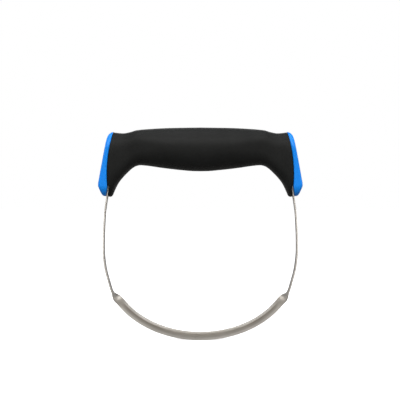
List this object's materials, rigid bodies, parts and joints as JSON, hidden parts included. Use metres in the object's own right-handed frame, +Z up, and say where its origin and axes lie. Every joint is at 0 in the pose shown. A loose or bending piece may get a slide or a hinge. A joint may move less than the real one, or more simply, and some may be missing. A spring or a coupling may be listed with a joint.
{
  "type": "pastry blender",
  "caption": "Hand pastry blender: a U-shaped stainless band with twisted blades across the bottom and a soft barrel handle with wedge end caps.",
  "frame": {"origin": "lowest point of the blades, in the middle of the tool", "axes": "+X along the handle to the right, +Z up from the blades to the handle, front of the tool faces -Y"},
  "size_m": [0.1262, 0.03, 0.1315],
  "materials": {
    "band_steel": "stamped stainless, satin with a fine grain along the band",
    "grip_soft": "black matt soft-touch moulding",
    "cap_plastic": "bright blue, satin gloss",
    "core_plastic": "dark grey moulding, hidden",
    "screw_steel": "zinc plated, hidden under the caps"
  },
  "bodies": {
    "root": {"blade_band": "band_steel", "handle_core": "core_plastic", "soft_grip": "grip_soft", "left_end_cap": "cap_plastic", "right_end_cap": "cap_plastic", "left_upper_band_screw": "screw_steel", "left_lower_band_screw": "screw_steel", "right_upper_band_screw": "screw_steel", "right_lower_band_screw": "screw_steel"}
  },
  "joints": []
}
